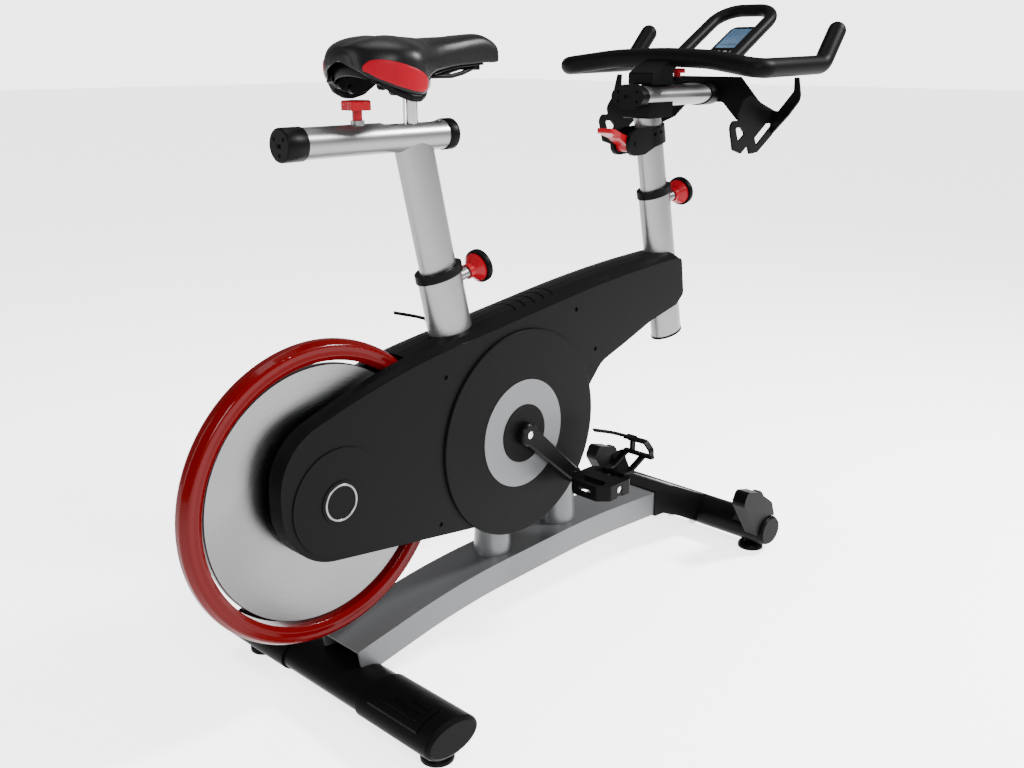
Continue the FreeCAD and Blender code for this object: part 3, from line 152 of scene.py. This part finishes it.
# Slot: colour, roughness, metallic, specular level, scale and height of the fine grain.
GRAINED = {
    "silver_paint": ((0.078, 0.080, 0.083), 0.34, 0.5, SATIN, 900, 0.00003),
    "silver_tube": ((0.145, 0.145, 0.148), 0.31, 0.85, METAL, 700, 0.00002),
    "black_paint": ((0.0018, 0.0018, 0.002), 0.34, 0.0, MATT, 800, 0.00005),
    "black_rubber": ((0.0012, 0.0012, 0.0012), 0.46, 0.0, MATT, 600, 0.00008),
    "black_plastic": ((0.0018, 0.0018, 0.002), 0.38, 0.0, MATT, 900, 0.00005),
    "charcoal_plastic": ((0.0022, 0.0022, 0.0024), 0.42, 0.0, MATT, 1100, 0.00006),
    "trim_silver": ((0.085, 0.087, 0.09), 0.40, 0.5, SATIN, 900, 0.00003),
    "dark_steel": ((0.0025, 0.0025, 0.0027), 0.34, 0.1, MATT, 900, 0.00004),
}
# Slot: colour, roughness, metallic, specular level and other sockets of the smooth finishes.
SMOOTH = {
    "guard_red": ((0.058, 0.0003, 0.0006), 0.24, 0.0, MATT, {"Coat_Weight": 0.12, "Coat_Roughness": 0.08}),
    "knob_red": ((0.17, 0.002, 0.006), 0.26, 0.0, MATT, {"Coat_Weight": 0.15, "Coat_Roughness": 0.1}),
    "bright_steel": ((0.42, 0.42, 0.43), 0.18, 1.0, METAL, {}),
    "belt_rubber": ((0.002, 0.002, 0.002), 0.6, 0.0, MATT, {}),
    "display_glass": ((0.05, 0.095, 0.16), 0.12, 0.0, SATIN, {}),
    "key_grey": ((0.10, 0.10, 0.105), 0.4, 0.0, SATIN, {}),
}

LOOKS = {}
for slot, (color, roughness, metallic, level, scale, height) in GRAINED.items():
    material = new_material(slot, color, roughness, metallic, Specular_IOR_Level=level)
    LOOKS[slot] = add_grain(material, scale, height)
for slot, (color, roughness, metallic, level, sockets) in SMOOTH.items():
    LOOKS[slot] = new_material(slot, color, roughness, metallic, Specular_IOR_Level=level, **sockets)
steel = new_material("flywheel_steel", (0.135, 0.135, 0.138), 0.3, 1.0, Anisotropic=0.85)
LOOKS["flywheel_steel"] = add_turned_lines(steel)
vinyl = new_material("saddle_vinyl", (0.0022, 0.0022, 0.0024), 0.36, Specular_IOR_Level=0.1)
LOOKS["saddle_vinyl"] = add_leather_grain(vinyl, 1400, 0.00006)
panel_red = new_material("saddle_red", (0.15, 0.002, 0.007), 0.36, Specular_IOR_Level=MATT)
SADDLE_RED = add_leather_grain(panel_red, 1400, 0.00004)
DISPLAY_INK = new_material("display_ink", (0.01, 0.02, 0.035), 0.5)

record_slots = {part["node"]: part["material_slot"] for part in frame["record"]["subparts"]}
for node, thing in frame["nodes"].items():
    look = LOOKS["dark_steel" if node == "saddle_rails" else record_slots[node]]
    if not thing.material_slots:
        thing.data.materials.append(look)
    for material_slot in thing.material_slots:
        material_slot.material = look


# ---- small building blocks -------------------------------------------------------------------
def add_mesh(name, points, faces, material, body):
    mesh = bpy.data.meshes.new(name)
    mesh.from_pydata([tuple(p) for p in points], [], faces)
    mesh.materials.append(material)
    piece = bpy.data.objects.new(name, mesh)
    bpy.context.scene.collection.objects.link(piece)
    for polygon in mesh.polygons:
        polygon.use_smooth = True
    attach(piece, body)
    return piece


def face_outward(piece):
    work = bmesh.new()
    work.from_mesh(piece.data)
    bmesh.ops.recalc_face_normals(work, faces=work.faces)
    work.to_mesh(piece.data)
    work.free()


def curve_through(stations, place):
    """Catmull-Rom value of each column at `place`, counted in stations."""
    i = min(int(place), len(stations) - 2)
    t = place - i
    rows = [stations[max(i - 1, 0)], stations[i], stations[i + 1], stations[min(i + 2, len(stations) - 1)]]
    values = []
    for a, b, c, d in zip(*rows):
        values.append(0.5 * (2 * b + (c - a) * t + (2 * a - 5 * b + 4 * c - d) * t * t
                             + (3 * b - a - 3 * c + d) * t ** 3))
    return values


def lathe(name, profile, centre, axis, material, body, steps=72):
    """Closed ring from a profile of (radius, height) turned about an axis."""
    turn = Vector((0, 0, 1)).rotation_difference(Vector(axis)).to_matrix()
    points, faces = [], []
    for i in range(steps):
        a = 2 * math.pi * i / steps
        for r, h in profile:
            points.append(centre + turn @ (Vector((r * math.cos(a), r * math.sin(a), h)) * 0.001))
    count = len(profile)
    for i in range(steps):
        for j in range(count):
            k = (j + 1) % count
            n = (i + 1) % steps
            faces.append((i * count + j, n * count + j, n * count + k, i * count + k))
    piece = add_mesh(name, points, faces, material, body)
    face_outward(piece)
    return piece


def add_strip(name, sections, material, body):
    """Closed solid skinned over a row of closed sections of equal length."""
    row = len(sections[0])
    faces = []
    for i in range(len(sections) - 1):
        for j in range(row):
            k = (j + 1) % row
            faces.append((i * row + j, (i + 1) * row + j, (i + 1) * row + k, i * row + k))
    faces.append(tuple(range(row)))
    faces.append(tuple(range((len(sections) - 1) * row, len(sections) * row)))
    piece = add_mesh(name, [p for section in sections for p in section], faces, material, body)
    face_outward(piece)
    return piece


# ---- saddle ------------------------------------------------------------------------------------
# x, half width, top, bottom of the skirt, underside
SADDLE = [(-326, 30, 1036, 1014, 1022), (-321, 46, 1045, 1007, 1023), (-308, 62, 1052, 996, 1024),
          (-286, 79, 1056, 985, 1024), (-262, 86, 1057, 978, 1024), (-244, 85, 1056, 976, 1023),
          (-228, 77, 1055, 979, 1023), (-210, 63, 1055, 996, 1024), (-186, 50, 1055, 1006, 1026),
          (-152, 37, 1057, 1011, 1028), (-120, 31, 1059, 1015, 1031), (-90, 28, 1062, 1017, 1033),
          (-60, 25, 1063, 1019, 1035), (-40, 23, 1058, 1019, 1034), (-24, 20, 1050, 1020, 1032),
          (-15, 12, 1038, 1024, 1031)]
TOP_POINTS = 12
RINGS = 96
# How far each closing ring of an end shrinks, and how far it stands out in millimetres.
END_RINGS = [(0.86, 1.6), (0.62, 2.6), (0.3, 3.0), (0.08, 3.1)]


def saddle_ring(x, half, top, skirt, under):
    """Right half of a section from the middle of the top, round the skirt, to the underside."""
    k = min(1.0, half / 60.0)
    drop = 27 * min(1.0, half / 45.0)
    points = []
    for i in range(TOP_POINTS):
        f = i / (TOP_POINTS - 1)
        points.append((half * f, top - drop * (1 - (1 - f ** 2.8) ** 0.6)))
    low = top - drop
    points += [(half * 1.004, 0.75 * low + 0.25 * skirt), (half * 1.006, 0.5 * low + 0.5 * skirt),
               (half * 1.004, 0.25 * low + 0.75 * skirt), (half, skirt + 5 * k),
               (half - 1.5 * k, skirt + 1.6 * k), (half - 4 * k, skirt + 0.2 * k),
               (half - 7.5 * k, skirt + 0.4 * k), (half - 11 * k, skirt + 3 * k),
               (half - 13.5 * k, 0.7 * skirt + 0.3 * under), (half - 15 * k, 0.3 * skirt + 0.7 * under),
               (half - 17 * k, under - 2 * k), (half - 22 * k, under), (0.5 * half, under),
               (0.25 * half, under)]
    points = [(max(y, 0.15 * half), z) if i >= TOP_POINTS else (y, z) for i, (y, z) in enumerate(points)]
    return [at(x, y, z) for y, z in points]


def closed_ring(row):
    right = saddle_ring(*row)
    bottom = Vector((right[-1].x, 0, right[-1].z))
    left = [Vector((p.x, -p.y, p.z)) for p in reversed(right[1:])]
    return right + [bottom] + left


def end_rings(ring, push):
    middle = sum(ring, Vector()) / len(ring)
    rings = []
    for share, step in END_RINGS:
        rings.append([middle + (p - middle) * share + Vector((push * step * 0.001, 0, 0)) for p in ring])
    return rings


def saddle_surface():
    rings = []
    for i in range(RINGS):
        rings.append(closed_ring(curve_through(SADDLE, (len(SADDLE) - 1) * i / (RINGS - 1))))
    rings = end_rings(rings[0], -1)[::-1] + rings + end_rings(rings[-1], 1)
    count = len(rings[0])
    faces = []
    for i in range(len(rings) - 1):
        for j in range(count):
            k = (j + 1) % count
            faces.append((i * count + j, i * count + k, (i + 1) * count + k, (i + 1) * count + j))
    faces.append(tuple(range(count)))
    faces.append(tuple(range((len(rings) - 1) * count, len(rings) * count)))
    return [p for ring in rings for p in ring], faces


def channel_depth(p):
    """Relief channel along the middle of the top, and the dished seat beside it."""
    x = p.x * 1000 - CRANK_X
    along = max(0.0, 1 - ((x + 190) / 118) ** 4)
    channel = 4.0 * math.exp(-(p.y * 1000 / 9.0) ** 2)
    lobes = 1.6 * math.exp(-((abs(p.y) * 1000 - 34) / 15.0) ** 2) if x < -200 else 0.0
    return along * (channel - lobes) * 0.001


def apply_all_modifiers(piece):
    graph = bpy.context.evaluated_depsgraph_get()
    shaped = bpy.data.meshes.new_from_object(piece.evaluated_get(graph))
    piece.modifiers.clear()
    piece.data = shaped


def inflate(piece, pressure, frames, cap):
    """Stuffs the cover by cloth pressure; no point moves further than the cap."""
    start = [v.co.copy() for v in piece.data.vertices]
    cloth = piece.modifiers.new("cloth", "CLOTH")
    settings = cloth.settings
    settings.quality = 6
    settings.mass = 0.3
    settings.tension_stiffness = 30
    settings.compression_stiffness = 30
    settings.shear_stiffness = 10
    settings.bending_stiffness = 2.0
    settings.use_pressure = True
    settings.uniform_pressure_force = pressure
    settings.effector_weights.gravity = 0
    if "held" in piece.vertex_groups:
        settings.vertex_group_mass = "held"
    cloth.collision_settings.use_collision = False
    scene = bpy.context.scene
    for number in range(1, frames + 1):
        scene.frame_set(number)
    apply_all_modifiers(piece)
    for vertex, before in zip(piece.data.vertices, start):
        step = vertex.co - before
        if step.length > cap:
            vertex.co = before + step * (cap / step.length)
    scene.frame_set(1)


# Heights in metres: the channel is pressed in above the first, and the cloth is held below the second.
CHANNEL_FLOOR = 1.040
HELD_BELOW = 1.028


def build_saddle():
    points, faces = saddle_surface()
    saddle = add_mesh("saddle_pad", points, faces, LOOKS["saddle_vinyl"], "saddle")
    face_outward(saddle)
    for vertex in saddle.data.vertices:
        if vertex.co.z > CHANNEL_FLOOR:
            vertex.co.z -= channel_depth(vertex.co)
    held = saddle.vertex_groups.new(name="held")
    low = [v.index for v in saddle.data.vertices if v.co.z < HELD_BELOW]
    held.add(low, 1.0, "REPLACE")
    inflate(saddle, 3.0, 14, 0.0025)
    saddle.vertex_groups.clear()
    fine = saddle.modifiers.new("fine", "SUBSURF")
    fine.levels = 1
    fine.render_levels = 1
    apply_all_modifiers(saddle)
    for polygon in saddle.data.polygons:
        polygon.use_smooth = True
    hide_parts("saddle_cushion")
    return saddle


# Upper edge of the side patch as (x, z); its lower edge follows the skirt.
PATCH_TOP = [(-322, 1016), (-315, 1025), (-301, 1027), (-282, 1023), (-263, 1017), (-246, 1010.5),
             (-231, 1003), (-223, 994), (-219, 989)]
PATCH_COLUMNS = 44
PATCH_ROWS = 12


def skirt_edge(x):
    """Half width and height of the skirt's lower edge at a place along the saddle."""
    for (x0, half0, _, low0, _), (x1, half1, _, low1, _) in zip(SADDLE, SADDLE[1:]):
        if x <= x1:
            share = max(0.0, x - x0) / (x1 - x0)
            return half0 + (half1 - half0) * share, low0 + (low1 - low0) * share
    return SADDLE[-1][1], SADDLE[-1][3]


def build_patch(name, tree, side):
    """Thin cover panel that follows the saddle's side, with its rim turned in."""
    points, faces = [], []
    for i in range(PATCH_COLUMNS + 1):
        x, top = curve_through(PATCH_TOP, (len(PATCH_TOP) - 1) * i / PATCH_COLUMNS)
        low = min(skirt_edge(x)[1] + 2.5, top - 1.0)
        for j in range(PATCH_ROWS + 1):
            z = low + (top - low) * j / PATCH_ROWS
            edge = min(i, PATCH_COLUMNS - i, j, PATCH_ROWS - j)
            lift = (-1.0, 0.75, 0.9)[min(edge, 2)]
            inward = Vector((0, -side, 0))
            hit, normal, _, _ = tree.ray_cast(at(x, side * 120, z), inward)
            if hit is None:
                hit, normal, _, _ = tree.find_nearest(at(x, side * 60, z))
            if normal.y * side < 0:
                normal = -normal
            points.append(hit + normal * lift * 0.001)
    row = PATCH_ROWS + 1
    for i in range(PATCH_COLUMNS):
        for j in range(PATCH_ROWS):
            faces.append((i * row + j, (i + 1) * row + j, (i + 1) * row + j + 1, i * row + j + 1))
    patch = add_mesh(name, points, faces, SADDLE_RED, "saddle")
    face_outward(patch)
    return patch


def build_saddle_patches(saddle):
    work = bmesh.new()
    work.from_mesh(saddle.data)
    tree = BVHTree.FromBMesh(work)
    work.free()
    build_patch("saddle_patch_right", tree, -1)
    build_patch("saddle_patch_left", tree, 1)


def build_rear_panel():
    """Curved plastic wall that closes the saddle's rear between the two skirts."""
    top = 1022
    columns = 40
    sections = []
    for i in range(columns + 1):
        turn = math.pi * (i / columns - 0.5)
        x = -262 - 52 * math.cos(turn) ** 0.8
        y = 71 * math.sin(turn)
        low = skirt_edge(x)[1] + 1.0
        inner_x = x + 3 * math.cos(turn)
        inner_y = y - 3 * math.sin(turn)
        sections.append([at(x, y, top), at(x - 1.0, y, 0.5 * (low + top)), at(x, y, low + 1.5),
                         at(0.5 * (x + inner_x), 0.5 * (y + inner_y), low), at(inner_x, inner_y, low + 1.5),
                         at(inner_x, inner_y, top)])
    return add_strip("saddle_rear_panel", sections, LOOKS["black_plastic"], "saddle")


def build_skirt_lip(name, side):
    """Moulded edge of the saddle's base, standing out below the cushion's skirt."""
    columns = 36
    sections = []
    for i in range(columns + 1):
        x = -306 + 92 * i / columns
        swell = math.sin(math.pi * i / columns) ** 0.6
        half, skirt = skirt_edge(x)
        top = skirt + 1.0
        low = skirt - 1.0 - 9.5 * swell
        edge = half - 2.5
        sections.append([at(x, side * edge, top), at(x, side * (edge + 0.6), 0.5 * (top + low)),
                         at(x, side * (edge - 1.2), low + 0.8), at(x, side * (edge - 3.5), low),
                         at(x, side * (edge - 7.0), low + 1.0), at(x, side * (edge - 8.0), top)])
    return add_strip(name, sections, LOOKS["black_plastic"], "saddle")


saddle_pad = build_saddle()
build_rear_panel()
build_skirt_lip("saddle_lip_right", -1)
build_skirt_lip("saddle_lip_left", 1)
build_saddle_patches(saddle_pad)


# ---- badges, knob rims, tube caps, display ------------------------------------------------------
def build_badges():
    """Plain raised ring round the cap over each end of the flywheel's axle."""
    for name, side in (("badge_ring_right", -1), ("badge_ring_left", 1)):
        profile = [(26.5, 0.0), (26.8, 0.9), (27.6, 1.3), (29.2, 1.3), (30.0, 0.9), (30.3, 0.0)]
        lathe(name, profile, at(FLYWHEEL_X, side * 55.5, FLYWHEEL_Z), (0, side, 0), LOOKS["silver_tube"],
              "frame")


SEAT_TUBE_Z = 911.0
# Each cap of the seat tube: the place of its open edge, and its section as (radius, distance from that edge).
REAR_CAP_X = -403.0
REAR_CAP = [(23.05, 0.0), (24.3, 0.0), (24.6, 0.4), (24.6, 33.2), (24.2, 34.6), (23.2, 35.6), (21.6, 36.0),
            (0.03, 36.0), (0.03, 22.4), (23.05, 22.4)]
FRONT_CAP_X = -132.0
FRONT_CAP = [(23.05, 0.0), (24.3, 0.0), (24.6, 0.4), (24.6, 17.0), (24.2, 18.6), (23.2, 19.6), (21.6, 20.0),
             (0.03, 20.0), (0.03, 10.4), (23.05, 10.4)]


def cut_away(piece, solids):
    """Cuts closed solids, each given as (points, faces), out of a piece."""
    points, faces = [], []
    for solid_points, solid_faces in solids:
        faces += [tuple(i + len(points) for i in face) for face in solid_faces]
        points += solid_points
    mesh = bpy.data.meshes.new("cutter")
    mesh.from_pydata([tuple(p) for p in points], [], faces)
    cutter = bpy.data.objects.new("cutter", mesh)
    bpy.context.scene.collection.objects.link(cutter)
    face_outward(cutter)
    cut = piece.modifiers.new("cut", "BOOLEAN")
    cut.operation = "DIFFERENCE"
    cut.solver = "EXACT"
    cut.object = cutter
    apply_all_modifiers(piece)
    bpy.data.objects.remove(cutter)
    bpy.data.meshes.remove(mesh)


def prism_x(outline, x0, x1):
    """Solid along X from a closed outline of (y, z)."""
    count = len(outline)
    points = [at(x0, y, z) for y, z in outline] + [at(x1, y, z) for y, z in outline]
    faces = [tuple(range(count)), tuple(range(count, 2 * count))]
    faces += [(i, (i + 1) % count, count + (i + 1) % count, count + i) for i in range(count)]
    return points, faces


def build_tube_caps():
    """End caps of the seat tube; the rear one is closed, with three screw holes and a slot."""
    rear = lathe("seat_tube_rear_cap", REAR_CAP, at(REAR_CAP_X, 0, SEAT_TUBE_Z), (-1, 0, 0),
                 LOOKS["black_plastic"], "seat_post")
    face = REAR_CAP_X - REAR_CAP[7][1]
    holes = []
    for y, z in ((-11, 9), (11, 9), (0, -14)):
        turns = [2 * math.pi * i / 24 for i in range(24)]
        rim = [(y + 3.2 * math.cos(a), SEAT_TUBE_Z + z + 3.2 * math.sin(a)) for a in turns]
        holes.append(prism_x(rim, face - 1, face + 4))
    slot = [(-5, -4), (5, -4), (5, 2), (-5, 2)]
    holes.append(prism_x([(y, SEAT_TUBE_Z + z) for y, z in slot], face - 1, face + 5))
    cut_away(rear, holes)
    for polygon in rear.data.polygons:
        polygon.use_smooth = abs(polygon.normal.x) < 0.9
    front = lathe("seat_tube_front_cap", FRONT_CAP, at(FRONT_CAP_X, 0, SEAT_TUBE_Z), (1, 0, 0),
                  LOOKS["black_plastic"], "seat_post")
    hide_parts("seat_tube_caps")
    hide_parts("seat_tube_caps")


# Foot point of each leaning tube, its lean in degrees, the pull pin's station and the sleeve's half depth.
PULL_PINS = [("seat_pin_knob", (-118.0, 579.0), 13.0, 92.0, 43.0),
             ("head_pin_knob", (497.0, 475.0), 11.75, 277.0, 40.0)]


def build_knob_rims():
    """Rubber ring round the end disc of each pull pin."""
    for body, foot, lean, station, half in PULL_PINS:
        a = math.radians(lean)
        base = at(foot[0] - station * math.sin(a) + half * math.cos(a), 0,
                  foot[1] + station * math.cos(a) + half * math.sin(a))
        profile = [(20.0, 50.0), (20.0, 52.2), (20.6, 52.8), (26.4, 52.8), (28.2, 51.6), (28.7, 49.8),
                   (28.7, 43.0), (28.1, 41.2), (26.6, 40.5), (24.6, 40.5), (24.6, 43.0)]
        lathe(body + "_rim", profile, base, (math.cos(a), 0, math.sin(a)), LOOKS["black_rubber"], body)


def on_console(x, y, lift):
    """A point on the console's face: x up the slope and y across, in millimetres from its middle."""
    tilt = math.radians(30)
    along = Vector((math.cos(tilt), 0, math.sin(tilt)))
    normal = Vector((-math.sin(tilt), 0, math.cos(tilt)))
    middle = at(606, 0, 1034) + along * 0.079 - normal * 0.020
    return middle + along * (x * 0.001) + Vector((0, y * 0.001, 0)) + normal * (lift * 0.001)


def build_display():
    """Rows of plain blocks and bars behind the lens."""
    points, faces = [], []

    def block(x, y, width, height):
        first = len(points)
        for dx, dy in ((-0.5, -0.5), (0.5, -0.5), (0.5, 0.5), (-0.5, 0.5)):
            points.append(on_console(x + dx * height, y + dy * width, -0.25))
        faces.append((first, first + 1, first + 2, first + 3))

    for row, x in enumerate((38, 24, 10)):
        for column in range(4):
            y = 18 - 12 * column
            width = 2.0
            block(x + 2.6, y, 6.0, 0.9)
            block(x - 2.6, y, 6.0, 0.9)
            block(x, y - 2.6, 0.9, 5.0)
            if (row + column) % 2:
                block(x, y + 2.6, 0.9, 5.0)
    for x in (45, 31, 17, -2):
        block(x, 0, 46, 0.5)
    for column in range(9):
        block(-12, 20 - 5 * column, 2.6, 4 + 8 * math.sin(0.35 * (column + 1)))
    return add_mesh("display_marks", points, faces, DISPLAY_INK, "handlebar")


build_badges()
build_knob_rims()
build_tube_caps()
build_display()


# ---- floor, light, camera -----------------------------------------------------------------------
FLOOR_GLOW = 2.7
SKY = 0.4
BACKDROP = 3.9


def build_stage():
    mesh = bpy.data.meshes.new("floor")
    size = 30.0
    corners = [(-size, -size, 0), (size, -size, 0), (size, size, 0), (-size, size, 0)]
    mesh.from_pydata(corners, [], [(0, 1, 2, 3)])
    paper = new_material("floor_paper", (0.88, 0.88, 0.88), 0.9, Emission_Color=(1.0, 1.0, 1.0, 1.0),
                         Emission_Strength=FLOOR_GLOW)
    mesh.materials.append(paper)
    floor = bpy.data.objects.new("floor", mesh)
    bpy.context.scene.collection.objects.link(floor)


def add_softbox(name, place, target, width, height, power):
    light = bpy.data.lights.new(name, "AREA")
    light.shape = "RECTANGLE"
    light.size = width
    light.size_y = height
    light.energy = power
    lamp = bpy.data.objects.new(name, light)
    lamp.location = place
    lamp.rotation_euler = (Vector(target) - Vector(place)).to_track_quat("-Z", "Y").to_euler()
    bpy.context.scene.collection.objects.link(lamp)


def build_lights():
    world = bpy.data.worlds.new("studio")
    world.use_nodes = True
    nodes = world.node_tree.nodes
    studio = nodes["Background"]
    studio.inputs["Color"].default_value = (1.0, 1.0, 1.0, 1.0)
    studio.inputs["Strength"].default_value = SKY
    paper = nodes.new("ShaderNodeBackground")
    paper.inputs["Color"].default_value = (1.0, 1.0, 1.0, 1.0)
    paper.inputs["Strength"].default_value = BACKDROP
    seen = nodes.new("ShaderNodeLightPath")
    mix = nodes.new("ShaderNodeMixShader")
    join = world.node_tree.links.new
    join(seen.outputs["Is Camera Ray"], mix.inputs["Fac"])
    join(studio.outputs["Background"], mix.inputs[1])
    join(paper.outputs["Background"], mix.inputs[2])
    join(mix.outputs["Shader"], nodes["World Output"].inputs["Surface"])
    bpy.context.scene.world = world
    add_softbox("key", (-1.9, -2.6, 2.4), (0, 0, 0.6), 0.7, 1.3, 160)
    add_softbox("rear", (-2.6, 1.2, 1.6), (0, 0, 0.6), 0.5, 2.0, 45)
    add_softbox("front", (1.75, -1.5, 2.5), (-0.2, 0, 0.5), 0.6, 0.6, 260)
    add_softbox("top", (0, 0.2, 3.2), (0, 0, 0), 1.6, 1.6, 60)


def build_camera():
    data = bpy.data.cameras.new("camera")
    data.lens = 38.08
    data.sensor_width = 36.0
    camera = bpy.data.objects.new("camera", data)
    camera.location = at(-1321.83, -1299.77, 1037.56)
    camera.rotation_euler = (math.radians(72.89), 0, math.radians(-46.11))
    bpy.context.scene.collection.objects.link(camera)
    bpy.context.scene.camera = camera


build_stage()
build_lights()
build_camera()
